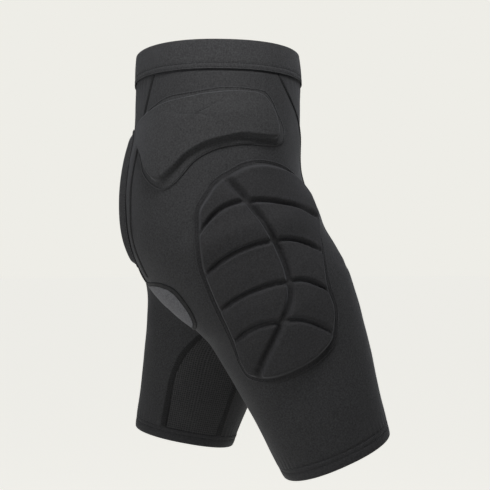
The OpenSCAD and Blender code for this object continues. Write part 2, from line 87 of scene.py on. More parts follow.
PALE = (0.855, 0.847, 0.80, 1)
room = bpy.data.worlds.new("room")
room.use_nodes = True
scene.world = room
room_nodes = room.node_tree.nodes
room_links = room.node_tree.links
shown = room_nodes["Background"]
shown.inputs["Color"].default_value = PALE
lighting = room_nodes.new("ShaderNodeBackground")
lighting.inputs["Color"].default_value = (0.9, 0.92, 1.0, 1)
lighting.inputs["Strength"].default_value = 0.13
path = room_nodes.new("ShaderNodeLightPath")
either = room_nodes.new("ShaderNodeMixShader")
room_links.new(path.outputs["Is Camera Ray"], either.inputs[0])
room_links.new(lighting.outputs[0], either.inputs[1])
room_links.new(shown.outputs[0], either.inputs[2])
room_links.new(either.outputs[0], room_nodes["World Output"].inputs[0])

FLOOR_LEVEL = -1.3
floor_mesh = bpy.data.meshes.new("floor")
floor_mesh.from_pydata([(x, y, FLOOR_LEVEL) for x, y in ((-30, -30), (30, -30), (30, 30), (-30, 30))],
                       [], [(0, 1, 2, 3)])
floor = bpy.data.objects.new("floor", floor_mesh)
scene.collection.objects.link(floor)
floor_finish = bpy.data.materials.new("pale_floor")
floor_finish.use_nodes = True
floor_shader = floor_finish.node_tree.nodes["Principled BSDF"]
floor_shader.inputs["Base Color"].default_value = (0.8, 0.78, 0.71, 1)
floor_shader.inputs["Roughness"].default_value = 0.9
floor_shader.inputs["Emission Color"].default_value = PALE
floor_shader.inputs["Emission Strength"].default_value = 0.878
floor_mesh.materials.append(floor_finish)
floor.visible_diffuse = False

# ---- Waistband ----------------------------------------------------------------------------
# A wide band of fine ribbed elastic knit over a woven elastic, with two rows of stitching. Every
# piece lies on one shape, the rings that the wearer's body gives the shorts, addressed by side,
# depth below the waist (mm) and angle (0 at the side, 90 behind).
FRONT = [(0, 97), (34, 100), (90, 98), (130, 99), (170, 106), (206, 112), (250, 102), (310, 94),
         (344, 90), (420, 77), (490, 65)]
REAR = [(0, 97), (34, 99), (90, 102), (130, 109), (170, 114), (206, 117), (250, 110), (310, 86),
        (344, 80), (420, 71), (490, 64)]
WIDTH = [(0, 125), (34, 129), (90, 142), (150, 153), (206, 157), (240, 133), (265, 107),
         (294, 83), (310, 80), (344, 75), (420, 68), (490, 61)]
SHIFT = [(0, 0), (90, 0), (150, 0), (190, 2), (206, 7), (240, 30), (265, 57), (294, 82.5),
         (310, 86), (344, 89), (420, 93), (490, 95)]
MIDDLE = [(0, 0), (90, -1), (170, -4), (230, -12), (310, -20), (490, -19)]
SQUARENESS = 2.25
HIP_AXIS = (-28, -206)
SWING = {-1: 23.0, 1: -11.5}
SIDES = {-1: "right", 1: "left"}
CUT_RADIUS = 95


def mix(a, b, t):
    return a + (b - a) * t


def smooth(a, b, v):
    t = np.clip((np.asarray(v, float) - a) / (b - a), 0, 1)
    return t * t * (3 - 2 * t)


def curve(stations, at):
    """Smooth curve through (position, value) stations."""
    x, y = np.array(stations, float).T
    slope = np.empty(len(x))
    slope[1:-1] = (y[2:] - y[:-2]) / (x[2:] - x[:-2])
    slope[0] = (y[1] - y[0]) / (x[1] - x[0])
    slope[-1] = (y[-1] - y[-2]) / (x[-1] - x[-2])
    u = np.clip(np.asarray(at, float), x[0], x[-1])
    i = np.clip(np.searchsorted(x, u, side="right") - 1, 0, len(x) - 2)
    h = x[i + 1] - x[i]
    t = (u - x[i]) / h
    return ((2 * t ** 3 - 3 * t * t + 1) * y[i] + (t ** 3 - 2 * t * t + t) * h * slope[i]
            + (3 * t * t - 2 * t ** 3) * y[i + 1] + (t ** 3 - t * t) * h * slope[i + 1])


def rounded(c):
    return np.sign(c) * np.abs(c) ** (2 / SQUARENESS)


def template(v, th):
    """Point of the straight shape: distance from the middle, y, z."""
    s = rounded(np.sin(np.radians(th)))
    reach = np.where(s > 0, curve(REAR, v), curve(FRONT, v))
    aside = np.maximum(curve(SHIFT, v), 0) + curve(WIDTH, v) * rounded(np.cos(np.radians(th)))
    return aside, curve(MIDDLE, v) + reach * s, -np.asarray(v, float)


def worn(side, v, th):
    """Point of the striding shape, in mm. Each leg swings by a share that grows downwards."""
    side, v, th = np.broadcast_arrays(side, np.asarray(v, float), np.asarray(th, float))
    aside, y, z = template(v, th)
    share = smooth(95, 275, v) * mix(smooth(294, 384, v), 1, smooth(0, 60, np.abs(aside)))
    a = np.radians(np.where(side < 0, SWING[-1], SWING[1]) * share)
    y = y - HIP_AXIS[0]
    z = z - HIP_AXIS[1]
    return np.stack([side * aside, HIP_AXIS[0] + y * np.cos(a) + z * np.sin(a),
                     HIP_AXIS[1] - y * np.sin(a) + z * np.cos(a)], -1)


def outward(side, v, th):
    down = worn(side, v + 1, th) - worn(side, v - 1, th)
    along = worn(side, v, th + 0.5) - worn(side, v, th - 0.5)
    n = np.asarray(side)[..., None] * np.cross(down, along)
    level = np.abs(worn(side, v, th)[..., 0]) < 0.05
    n[..., 0] = np.where(level, 0, n[..., 0])
    return n / np.linalg.norm(n, axis=-1, keepdims=True)


def lifted(side, v, th, height):
    """Point at a height above the worn surface, in metres."""
    side, v, th, height = np.broadcast_arrays(side, v, th, height)
    side, v, th = side.astype(float), v.astype(float), th.astype(float)
    return (worn(side, v, th) + height[..., None] * outward(side, v, th)) * MM


def piece(name, points, faces, uv=None, finish=None):
    """Mesh object from points and faces, smooth shaded, normals outward."""
    mesh = bpy.data.meshes.new(name)
    mesh.from_pydata(np.asarray(points).reshape(-1, 3).tolist(), [], faces)
    if uv is not None:
        layer = mesh.uv_layers.new(name="cut")
        corner = np.empty(len(mesh.loops), int)
        mesh.loops.foreach_get("vertex_index", corner)
        layer.data.foreach_set("uv", np.asarray(uv, np.float32).reshape(-1, 2)[corner].ravel())
    made = bmesh.new()
    made.from_mesh(mesh)
    bmesh.ops.recalc_face_normals(made, faces=made.faces)
    made.to_mesh(mesh)
    made.free()
    mesh.polygons.foreach_set("use_smooth", [True] * len(mesh.polygons))
    obj = bpy.data.objects.new(name, mesh)
    scene.collection.objects.link(obj)
    if finish:
        mesh.materials.append(finish)
    return obj


def ring_back(rows, cols):
    """Quads that join the last row of a closed grid to its first."""
    last = (rows - 1) * cols
    return [[last + j, last + (j + 1) % cols, (j + 1) % cols, j] for j in range(cols)]


def cells(rows, cols, closed=False, base=0):
    """Quads of a grid."""
    i, j = np.meshgrid(np.arange(rows - 1), np.arange(cols if closed else cols - 1), indexing="ij")
    k = (j + 1) % cols
    return (base + np.stack([i * cols + j, i * cols + k, (i + 1) * cols + k, (i + 1) * cols + j],
                            -1)).reshape(-1, 4).tolist()


def rim(rows, cols, closed=False):
    """Grid positions round the edge, and the two edge loops of a closed grid."""
    top = list(range(cols))
    foot = [(rows - 1) * cols + j for j in range(cols)]
    if closed:
        return [top + top[:1], foot + foot[:1]]
    right = [i * cols + cols - 1 for i in range(1, rows)]
    left = [i * cols for i in range(rows - 2, 0, -1)]
    return [top + right + foot[-2::-1] + left + top[:1]]


def cloth_sheet(name, side, v, th, low, high, finish, closed=False, uv=None):
    """Cloth of real thickness over a grid of depths and angles."""
    rows, cols = v.shape
    outer = lifted(side, v, th, high)
    inner = lifted(side, v, th, low)
    count = rows * cols
    faces = cells(rows, cols, closed)
    faces += [f[::-1] for f in cells(rows, cols, closed, count)]
    for loop in rim(rows, cols, closed):
        faces += [[a, b, b + count, a + count] for a, b in zip(loop, loop[1:])]
    if uv is None:
        uv = np.stack([np.radians(th) * CUT_RADIUS * MM, v * MM], -1)
    return piece(name, np.concatenate([outer.reshape(-1, 3), inner.reshape(-1, 3)]), faces,
                 np.concatenate([uv.reshape(-1, 2)] * 2), finish)


def group(name, ins, outs):
    """Empty node group with named sockets."""
    tree = bpy.data.node_groups.new(name, "ShaderNodeTree")
    for label, kind, value in ins:
        socket = tree.interface.new_socket(label, in_out="INPUT", socket_type="NodeSocket" + kind)
        if value is not None:
            socket.default_value = value
    for label, kind in outs:
        tree.interface.new_socket(label, in_out="OUTPUT", socket_type="NodeSocket" + kind)
    return tree, tree.nodes.new("NodeGroupInput"), tree.nodes.new("NodeGroupOutput")


def math_node(tree, kind, a, b=None, c=None):
    node = tree.nodes.new("ShaderNodeMath")
    node.operation = kind
    for i, value in enumerate((a, b, c)):
        if isinstance(value, bpy.types.NodeSocket):
            tree.links.new(value, node.inputs[i])
        elif value is not None:
            node.inputs[i].default_value = value
    return node.outputs[0]


def blended(tree, kind, share, a, b):
    node = tree.nodes.new("ShaderNodeMix")
    node.data_type = "RGBA"
    node.blend_type = kind
    for i, value in ((0, share), (6, a), (7, b)):
        if isinstance(value, bpy.types.NodeSocket):
            tree.links.new(value, node.inputs[i])
        else:
            node.inputs[i].default_value = value
    return node.outputs[2]


def noise(tree, vector, scale, detail=3.0, rough=0.55):
    node = tree.nodes.new("ShaderNodeTexNoise")
    tree.links.new(vector, node.inputs["Vector"])
    node.inputs["Scale"].default_value = scale
    node.inputs["Detail"].default_value = detail
    node.inputs["Roughness"].default_value = rough
    return node.outputs["Fac"]


# Knit: wales along the cut's length, courses across it, and the fuzz and uneven dye over both
KNIT, knit_in, knit_out = group(
    "knit", [("Cut", "Vector", None), ("Place", "Vector", None), ("Colour", "Color", None),
             ("Wales", "Float", None), ("Courses", "Float", None), ("Relief", "Float", None),
             ("Unevenness", "Float", None)],
    [("Colour", "Color"), ("Roughness", "Float"), ("Height", "Float")])
split = KNIT.nodes.new("ShaderNodeSeparateXYZ")
KNIT.links.new(knit_in.outputs["Cut"], split.inputs[0])
wobble = noise(KNIT, knit_in.outputs["Place"], 260.0)
wale = math_node(KNIT, "SINE", math_node(KNIT, "MULTIPLY_ADD", split.outputs[0], knit_in.outputs["Wales"],
                                         math_node(KNIT, "MULTIPLY", wobble, 2.2)))
course = math_node(KNIT, "SINE", math_node(KNIT, "MULTIPLY_ADD", split.outputs[1], knit_in.outputs["Courses"],
                                           math_node(KNIT, "MULTIPLY", wale, 1.1)))
loops = math_node(KNIT, "MULTIPLY_ADD", math_node(KNIT, "ADD", wale, course), 0.25, 0.5)
fuzz = noise(KNIT, knit_in.outputs["Place"], 1500.0, 2.0)
patches = noise(KNIT, knit_in.outputs["Place"], 28.0, 5.0, 0.6)
height = math_node(KNIT, "ADD", math_node(KNIT, "MULTIPLY", loops, knit_in.outputs["Relief"]),
                   math_node(KNIT, "MULTIPLY", fuzz, 0.5))
shade = math_node(KNIT, "MULTIPLY_ADD", math_node(KNIT, "SUBTRACT", patches, 0.5),
                  knit_in.outputs["Unevenness"], 1.0)
shade = math_node(KNIT, "MULTIPLY", shade, math_node(KNIT, "MULTIPLY_ADD", loops, 0.3, 0.85))
shade = math_node(KNIT, "MULTIPLY", shade, math_node(KNIT, "MULTIPLY_ADD", fuzz, 0.9, 0.55))
flecks = noise(KNIT, knit_in.outputs["Place"], 560.0, 2.0)
shade = math_node(KNIT, "MULTIPLY", shade, math_node(KNIT, "MULTIPLY_ADD", flecks, 1.8, 0.12))
grey = KNIT.nodes.new("ShaderNodeCombineXYZ")
for axis in range(3):
    KNIT.links.new(shade, grey.inputs[axis])
KNIT.links.new(blended(KNIT, "MULTIPLY", 1.0, knit_in.outputs["Colour"], grey.outputs[0]),
               knit_out.inputs["Colour"])
KNIT.links.new(math_node(KNIT, "MULTIPLY_ADD", patches, 0.22, 0.68), knit_out.inputs["Roughness"])
KNIT.links.new(height, knit_out.inputs["Height"])


def textile(name, colour, wales=6400.0, courses=5600.0, relief=0.5, uneven=0.16, bump=0.25, sheen=0.09,
            on_cut=True):
    """Material of a knit or woven cloth."""
    made = bpy.data.materials.new(name)
    made.use_nodes = True
    tree = made.node_tree
    shader = tree.nodes["Principled BSDF"]
    where = tree.nodes.new("ShaderNodeTexCoord")
    cloth = tree.nodes.new("ShaderNodeGroup")
    cloth.node_tree = KNIT
    tree.links.new(where.outputs["UV" if on_cut else "Object"], cloth.inputs["Cut"])
    tree.links.new(where.outputs["Object"], cloth.inputs["Place"])
    cloth.inputs["Colour"].default_value = (*colour, 1)
    cloth.inputs["Wales"].default_value = wales
    cloth.inputs["Courses"].default_value = courses
    cloth.inputs["Relief"].default_value = relief
    cloth.inputs["Unevenness"].default_value = uneven
    relief_node = tree.nodes.new("ShaderNodeBump")
    relief_node.inputs["Strength"].default_value = bump
    relief_node.inputs["Distance"].default_value = 0.0006
    tree.links.new(cloth.outputs["Height"], relief_node.inputs["Height"])
    tree.links.new(relief_node.outputs[0], shader.inputs["Normal"])
    tree.links.new(cloth.outputs["Colour"], shader.inputs["Base Color"])
    tree.links.new(cloth.outputs["Roughness"], shader.inputs["Roughness"])
    shader.inputs["Specular IOR Level"].default_value = 0.25
    shader.inputs["Sheen Weight"].default_value = sheen
    shader.inputs["Sheen Roughness"].default_value = 0.45
    shader.inputs["Sheen Tint"].default_value = (0.75, 0.78, 0.85, 1)
    return made


band_knit = textile("waistband_knit", (0.038, 0.038, 0.0395), wales=4200.0, courses=9000.0, relief=0.9,
                    bump=0.5)
BAND_ROWS = (27.2, 32.0)
band_depths = np.concatenate([[34.0, 33.2, 32, 30.8, 29.5, 28.4, 27.2, 26, 24.6], np.linspace(23, 3, 14),
                              [1.6, 0.6]])
pinch = sum(np.exp(-((band_depths - row) / 1.1) ** 2) for row in BAND_ROWS)
crown = 0.35 * np.sin(np.pi * np.clip(band_depths / 26, 0, 1))
outer_path = np.stack([band_depths, 3.1 + crown - 0.55 * pinch], -1)
fold = np.array([(0.1, 2.6), (-0.1, 1.6), (0.1, 0.7)])
inner_path = np.stack([band_depths[::-1], 0.1 + 0.2 * pinch[::-1]], -1)
outer_back = np.stack([band_depths[::-1], outer_path[::-1, 1] - 0.7], -1)
inner_back = np.stack([band_depths, inner_path[::-1, 1] + 0.7], -1)
outline = np.concatenate([outer_path, fold, inner_path, inner_back, [(1.2, 1.6)], outer_back])
band_turns = 288
ring = -90 + 360 * np.arange(band_turns) / band_turns
ring_side = np.where(ring <= 90, -1, 1)
ring_angle = np.where(ring <= 90, ring, 180 - ring)
pucker = (0.10 * np.sin(np.radians(ring) * 190) + 0.16 * np.sin(np.radians(ring) * 83 + 1.3))
band_v = outline[:, 0][:, None] + 0 * ring[None, :]
near_rows = sum(np.exp(-((band_v - row) / 3.0) ** 2) for row in BAND_ROWS)
band_h = outline[:, 1][:, None] + pucker[None, :] * near_rows * (outline[:, 1][:, None] > 2)
band_points = lifted(ring_side[None, :], band_v, ring_angle[None, :], band_h)
band_faces = cells(len(outline), band_turns, True) + ring_back(len(outline), band_turns)
band_uv = np.stack([np.broadcast_to(np.radians(ring)[None, :] * 112 * MM, band_v.shape), band_v * MM], -1)
waistband = piece("Waistband", band_points, band_faces, band_uv, band_knit)
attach(waistband, "hips")
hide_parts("waistband")

elastic_weave = textile("elastic_weave", (0.5, 0.5, 0.48), wales=1800.0, courses=1800.0, relief=1.0,
                        bump=0.5, sheen=0.05, on_cut=False)
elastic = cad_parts["waistband_elastic"]
elastic.data.materials.clear()
elastic.data.materials.append(elastic_weave)

# ---- Side fabric --------------------------------------------------------------------------
# One cut piece a side, of matt stretch knit: from the waistband over the hip and right round the
# leg to the hem. It is cut between the front and rear seams, the gusset and the inner thigh mesh.
FABRIC_THICK = 1.2
BAND_FOOT = 34.4
FRONT_END = 212
REAR_END = 228
REAR_CORNER = 71
FRONT_CORNER = -80
REAR_SEAM = [(34, 50), (55, 55), (90, 62), (160, 65), (REAR_END, REAR_CORNER)]
FRONT_SEAM = [(34, -34), (60, -47), (90, -66), (140, -76), (FRONT_END, FRONT_CORNER)]
FRONT_TIP_DEPTH = 245.0
REAR_TIP_DEPTH = 255.0
LEG_END = 475
INNER_SEAM = 171
SEAM_AROUND = INNER_SEAM - 360
TIP_REACH = 2.5
GUSSET_REACH = 27


def middle_angle(v):
    """Angle at which a ring meets the middle plane."""
    return np.degrees(np.arccos(-(np.maximum(curve(SHIFT, v), 0) / curve(WIDTH, v)) ** (SQUARENESS / 2)))


def middle_depth(th):
    low = np.full(np.shape(th), 150.0)
    high = np.full(np.shape(th), 302.0)
    for _ in range(22):
        half = (low + high) / 2
        above = template(half, th)[0] < 0
        low = np.where(above, half, low)
        high = np.where(above, high, half)
    return (low + high) / 2


FRONT_TIP = -float(middle_angle(FRONT_TIP_DEPTH))
REAR_TIP = float(middle_angle(REAR_TIP_DEPTH))
ROOT_EDGE = [(FRONT_TIP, FRONT_TIP_DEPTH), (FRONT_CORNER, FRONT_END), (-60, 158), (-40, 122), (-15, 112),
             (10, 114), (30, 144), (50, 184), (REAR_CORNER, REAR_END), (REAR_TIP, REAR_TIP_DEPTH)]
LEG_EDGE = [(SEAM_AROUND, 345), (-130, 340), (-100, 330), (-80, 300), (-65, 276), (-50, 192), (-35, 138),
            (-20, 127), (0, 129), (15, 146), (25, 176), (35, 250), (50, 292), (71, 305), (100, 325),
            (140, 340), (INNER_SEAM, 345)]


def gusset_reach(th):
    share = np.clip((th - REAR_TIP) / (360 + FRONT_TIP - REAR_TIP), 0, 1)
    return mix(TIP_REACH, GUSSET_REACH, np.sin(np.pi * share) ** 0.8)


def root_edge(th):
    """Lowest depth of what stays with the hips, by angle."""
    th = np.asarray(th, float)
    under = middle_depth(th) + gusset_reach(np.where(th < 0, th + 360, th))
    from_tip = np.minimum(th - FRONT_TIP, REAR_TIP - th)
    aside = curve(ROOT_EDGE, th) + TIP_REACH * smooth(40, 0, from_tip)
    return np.where((th > REAR_TIP) | (th < FRONT_TIP), under, aside)


def cut_top(th):
    """Upper edge of the side fabric, by angle."""
    steps = np.linspace(BAND_FOOT, FRONT_END, 400)
    front = np.interp(-th, -curve(FRONT_SEAM, steps), steps)
    steps = np.linspace(BAND_FOOT, REAR_END, 400)
    rear = np.interp(th, curve(REAR_SEAM, steps), steps)
    seams = np.where(th < 0, front, rear)
    return np.where((th < FRONT_CORNER) | (th > REAR_CORNER), root_edge(th), seams)


def leg_share(v, th):
    """How far the fabric moves with the leg: none above the root edge, all below the leg edge."""
    th = np.where(th > INNER_SEAM, th - 360, th)
    top = root_edge(th)
    return smooth(0, 1, (v - top) / (curve(LEG_EDGE, th) - top))


def notch_rear(v):
    return INNER_SEAM - 18 * smooth(321, 421, v) * smooth(336, 352, v)


def notch_front(v):
    return INNER_SEAM + 42 * smooth(336, 401, v) * smooth(336, 352, v)


def ripple(points, scale, seed):
    """Smooth unevenness between -1 and 1, the same on each run."""
    rng = np.random.default_rng(seed)
    total = np.zeros(points.shape[:-1])
    for _ in range(9):
        way = rng.normal(size=3)
        way /= np.linalg.norm(way)
        total += np.sin(points @ way * (2 * np.pi / scale) * rng.uniform(0.6, 1.5) + rng.uniform(0, 6.28))
    return total / 4.5


def creases(side, v, th):
    """Height of the fabric's slack: gathers under the band, puckers, creases at the hip and crotch."""
    at = worn(side, v, th)
    under_band = np.exp(-(v - BAND_FOOT) / 13)
    gathers = 0.55 * under_band * np.sin(np.radians(th) * 41 + 2.2 * ripple(at, 60, 3))
    gathers *= 0.35 + 0.65 * smooth(10, -45, th)
    slack = 0.5 * ripple(at, 85, 11) + 0.22 * ripple(at, 34, 5)
    bend = np.exp(-((v - 292 + 0.3 * (th + 75)) / 5.0) ** 2) * smooth(-48, -70, th) * smooth(-120, -90, th)
    groin = 0.9 * np.sin((v - 0.5 * th) * 0.42) * np.exp(-((v - root_edge(th) - 12) / 14) ** 2)
    groin *= smooth(80, 110, np.abs(th))
    hem = 0.25 * smooth(450, 474, v) * np.sin(np.radians(th) * 57 + 1.5 * ripple(at, 50, 8))
    return gathers + slack - 0.9 * bend + groin + hem


def bind(obj, share):
    """Bakes the piece's transform into its mesh. share, 0 to 1 for each point, is not used."""
    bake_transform(obj)


fabric = textile("stretch_knit", (0.029, 0.029, 0.0303), bump=0.3)
fine = np.linspace(SEAM_AROUND, INNER_SEAM, 18001)
edge = worn(1, cut_top(fine), fine)
run = np.concatenate([[0], np.cumsum(np.linalg.norm(np.diff(edge, axis=0), axis=1))])
run += 1.3 * (fine - SEAM_AROUND)
columns = np.interp(np.linspace(0, run[-1], 300), run, fine)
share_down = np.linspace(0, 1, 116)[:, None]
side_v = mix(cut_top(columns)[None, :], LEG_END - 0.4, share_down)
turn = ((columns - SEAM_AROUND) / 360)[None, :]
side_th = (columns[None, :] + (notch_front(side_v) - INNER_SEAM) * (1 - turn) ** 6
           - (INNER_SEAM - notch_rear(side_v)) * turn ** 6)
for side, word in SIDES.items():
    give = creases(side, side_v, side_th) * smooth(0, 0.03, share_down)
    give = np.maximum(give, -0.8) * np.where(side_v > 30, 1, 0)
    obj = cloth_sheet(word.capitalize() + "_side_fabric", side, side_v, side_th, give, give + FABRIC_THICK,
                      fabric)
    bind(obj, np.tile(leg_share(side_v, side_th).ravel(), 2))
    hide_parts(word + "_side_panel", word + "_hip_stretch_panel", word + "_leg_panel")

# ---- Front and back panels ----------------------------------------------------------------
# The middle panels of the same stretch knit, from the waistband down to a point at the crotch,
# sewn to the side fabric along the front and rear seams.
def middle_panel(name, node, seam, tip_angle, tip_depth, seed):
    """Panel across the middle plane: its edges follow the seam, then the gusset's edge to the tip."""
    way = np.sign(tip_angle)
    seam_end, corner = seam[-1]
    low_th = np.linspace(tip_angle, corner, 300)
    low_v = root_edge(low_th)
    order = np.argsort(low_v)
    v = np.concatenate([np.linspace(BAND_FOOT, seam_end, 72), np.linspace(seam_end + 1, tip_depth + 2, 18)])
    edge_th = np.where(v <= seam_end, curve(seam, v), np.interp(v, low_v[order], low_th[order]))
    out = np.linspace(-1, 1, 65)[None, :]
    middle = (way * middle_angle(np.minimum(v, tip_depth)))[:, None]
    v_grid = np.broadcast_to(v[:, None], (len(v), out.size))
    th_grid = mix(middle, edge_th[:, None], np.abs(out))
    side = np.broadcast_to(np.where(out < 0, -1, 1), v_grid.shape)
    at = worn(side, v_grid, th_grid)
    give = 0.5 * np.exp(-(v_grid - BAND_FOOT) / 12) * np.sin(at[..., 0] * 0.62 + 2 * ripple(at, 60, seed))
    give += (0.35 * ripple(at, 80, 11) + 0.2 * ripple(at, 30, seed)) * (1 - np.abs(out) ** 4)
    give += 0.5 * np.sin(v_grid * 0.5) * np.exp(-np.abs(at[..., 0]) / 16) * smooth(150, 235, v_grid)
    give = np.maximum(give, -0.8) * smooth(BAND_FOOT, BAND_FOOT + 4, v_grid)
    uv = np.stack([at[..., 0] * MM, v_grid * MM], -1)
    obj = cloth_sheet(name, side, v_grid, th_grid, give, give + FABRIC_THICK, fabric, uv=uv)
    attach(obj, "hips")
    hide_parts(node)
    return obj


front_panel = middle_panel("Front_panel", "front_panel", FRONT_SEAM, FRONT_TIP, FRONT_TIP_DEPTH, 21)
back_panel = middle_panel("Back_panel", "back_panel", REAR_SEAM, REAR_TIP, REAR_TIP_DEPTH, 22)

# ---- Crotch gusset ------------------------------------------------------------------------
# A leaf of smoother knit under the crotch, coloured much lighter than the side fabric, folded along the
# middle, its rim puckered by the seam. It runs on outwards as a second leaf under the fold of each buttock,
# laid over the side.
gusset_knit = textile("gusset_knit", (0.130, 0.130, 0.136), wales=6400.0, courses=6400.0, relief=0.4,
                      bump=0.25)
around = np.linspace(REAR_TIP, 360 + FRONT_TIP, 100)[:, None]
across = np.linspace(-1, 1, 33)[None, :]
gusset_v = middle_depth(around) + np.abs(across) * gusset_reach(around)
gusset_th = np.broadcast_to(np.where(around <= 180, around, around - 360), gusset_v.shape)
gusset_side = np.broadcast_to(np.where(across < 0, -1, 1), gusset_v.shape)
gusset_at = worn(gusset_side, gusset_v, gusset_th)
pull = np.abs(across) ** 3
give = 0.35 * pull * np.sin(np.radians(around) * 60) + 0.3 * ripple(gusset_at, 30, 4) * (1 - pull)
give -= 0.5 * np.exp(-(across / 0.06) ** 2)
uv = np.stack([np.radians(np.broadcast_to(around, gusset_v.shape)) * 90 * MM,
               gusset_at[..., 0] * MM], -1)
gusset = cloth_sheet("Crotch_gusset", gusset_side, gusset_v, gusset_th, give, give + FABRIC_THICK,
                     gusset_knit, uv=uv)
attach(gusset, "hips")
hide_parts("gusset")

WING = [(235, 86), (234, 74), (236, 63), (242, 55.5), (250, 54), (262, 56), (273, 60), (282, 66), (287, 74),
        (290, 88), (292, 104), (290, 120), (282, 127), (266, 120), (252, 112), (240, 100)]
WING_MIDDLE = np.array((261, 88))


def loop(outline, count):
    """Smooth closed line through (depth, angle) points."""
    p = np.array(outline, float)
    n = len(p)
    s = np.arange(count) / count * n
    i = np.floor(s).astype(int)
    u = (s - i)[:, None]
    a, b, c, d = p[(i - 1) % n], p[i % n], p[(i + 1) % n], p[(i + 2) % n]
    return 0.5 * (2 * b + (c - a) * u + (2 * a - 5 * b + 4 * c - d) * u * u
                  + (3 * b - a - 3 * c + d) * u ** 3)


wing_edge = loop(WING, 110)
wing_turn = np.arange(len(wing_edge)) * 2 * np.pi / len(wing_edge)
out = np.linspace(0, 1, 22)[:, None]
wing_rings = out.copy()
wing_rings[0] = 0.02
wing_spots = WING_MIDDLE + wing_rings[..., None] * (wing_edge[None] - WING_MIDDLE)
v, th = wing_spots[..., 0], wing_spots[..., 1]
for side, word in SIDES.items():
    bulge = 0.9 * np.sin(np.pi * np.clip(out, 0, 1)) ** 0.5 * (1 - out ** 8)
    give = creases(side, v, th) + FABRIC_THICK + bulge
    give += 0.45 * out ** 3 * np.sin(wing_turn * 18)[None, :]
    obj = cloth_sheet(word.capitalize() + "_gusset_wing", side, v, th, give, give + 0.8, gusset_knit, True,
                      uv=np.stack([v * MM, np.radians(th) * CUT_RADIUS * MM], -1))
    bind(obj, np.tile(leg_share(v, th).ravel(), 2))

# ---- Inner thigh mesh ---------------------------------------------------------------------
# A tall panel of open warp-knit mesh on the inside of each thigh, narrow and rounded at the top.
HOLES, holes_in, holes_out = group("mesh_holes", [("Cut", "Vector", None), ("Pitch", "Float", 380.0)],
                                   [("Hole", "Float")])
lay = HOLES.nodes.new("ShaderNodeVectorMath")
lay.operation = "SCALE"
HOLES.links.new(holes_in.outputs["Cut"], lay.inputs[0])
HOLES.links.new(holes_in.outputs["Pitch"], lay.inputs["Scale"])
dots = HOLES.nodes.new("ShaderNodeTexVoronoi")
dots.voronoi_dimensions = "2D"
dots.inputs["Scale"].default_value = 1.0
dots.inputs["Randomness"].default_value = 0.12
HOLES.links.new(lay.outputs[0], dots.inputs["Vector"])
fade = HOLES.nodes.new("ShaderNodeMapRange")
fade.inputs["From Min"].default_value = 0.22
fade.inputs["From Max"].default_value = 0.42
HOLES.links.new(dots.outputs["Distance"], fade.inputs["Value"])
HOLES.links.new(fade.outputs[0], holes_out.inputs["Hole"])

open_mesh = textile("inner_thigh_mesh", (0.036, 0.036, 0.037), wales=6000.0, courses=6000.0, relief=0.3,
                    bump=0.3, sheen=0.1)
tree = open_mesh.node_tree
holes = tree.nodes.new("ShaderNodeGroup")
holes.node_tree = HOLES
tree.links.new(tree.nodes["Texture Coordinate"].outputs["UV"], holes.inputs["Cut"])
knitted = tree.nodes["Group"]
# The holes are not cut through: each is painted near black, the painted shade of the inside seen through it.
tree.links.new(blended(tree, "MIX", holes.outputs["Hole"], (0.006, 0.006, 0.006, 1),
                       knitted.outputs["Colour"]),
               tree.nodes["Principled BSDF"].inputs["Base Color"])
tree.links.new(math_node(tree, "ADD", math_node(tree, "MULTIPLY", holes.outputs["Hole"], 1.5),
                         knitted.outputs["Height"]), tree.nodes["Bump"].inputs["Height"])
mesh_v = np.linspace(343, LEG_END - 0.4, 70)[:, None]
mesh_share = np.linspace(0, 1, 34)[None, :]
mesh_th = mix(notch_rear(mesh_v) + 0.3, notch_front(mesh_v) - 0.3, mesh_share)
mesh_v = np.broadcast_to(mesh_v, mesh_th.shape)
for side, word in SIDES.items():
    give = 0.25 * ripple(worn(side, mesh_v, mesh_th), 40, 17)
    uv = np.stack([np.radians(mesh_th) * 72 * MM, mesh_v * MM], -1)
    obj = cloth_sheet(word.capitalize() + "_inner_thigh_mesh", side, mesh_v, mesh_th, give + 0.2, give + 0.9,
                      open_mesh, uv=uv)
    bind(obj, np.tile(leg_share(mesh_v, mesh_th).ravel(), 2))
    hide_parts(word + "_inner_thigh_mesh")

# ---- Hems ---------------------------------------------------------------------------------
# A narrow double hem of ribbed elastic knit round each leg, turned in at the bottom.
hem_knit = textile("hem_knit", (0.027, 0.027, 0.0285), wales=4400.0, courses=9000.0, relief=0.8, bump=0.4)
HEM_ROW = 479.5
hem_path = np.array([(474.2, 1.1), (475, 1.55), (477, 1.7), (478.6, 1.6), (HEM_ROW, 1.15), (480.4, 1.6),
                     (483, 1.85), (487, 1.85), (489, 1.6), (489.9, 1.0), (490, 0.4), (489.4, -0.2),
                     (486, -0.4), (481, -0.4), (476, -0.3), (474.2, 0.0)])
hem_turns = 200
hem_ring = -180 + 360 * np.arange(hem_turns) / hem_turns
for side, word in SIDES.items():
    hem_v = hem_path[:, 0][:, None] + 0 * hem_ring[None, :]
    hem_h = hem_path[:, 1][:, None] + 0.12 * np.sin(np.radians(hem_ring) * 67)[None, :] * (hem_v < 484)
    points = lifted(side, hem_v, hem_ring[None, :], hem_h)
    faces = cells(len(hem_path), hem_turns, True) + ring_back(len(hem_path), hem_turns)
    uv = np.stack([np.broadcast_to(np.radians(hem_ring)[None, :] * 64 * MM, hem_v.shape), hem_v * MM], -1)
    obj = piece(word.capitalize() + "_hem", points, faces, uv, hem_knit)
    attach(obj, word + "_leg")
    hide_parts(word + "_hem_band")

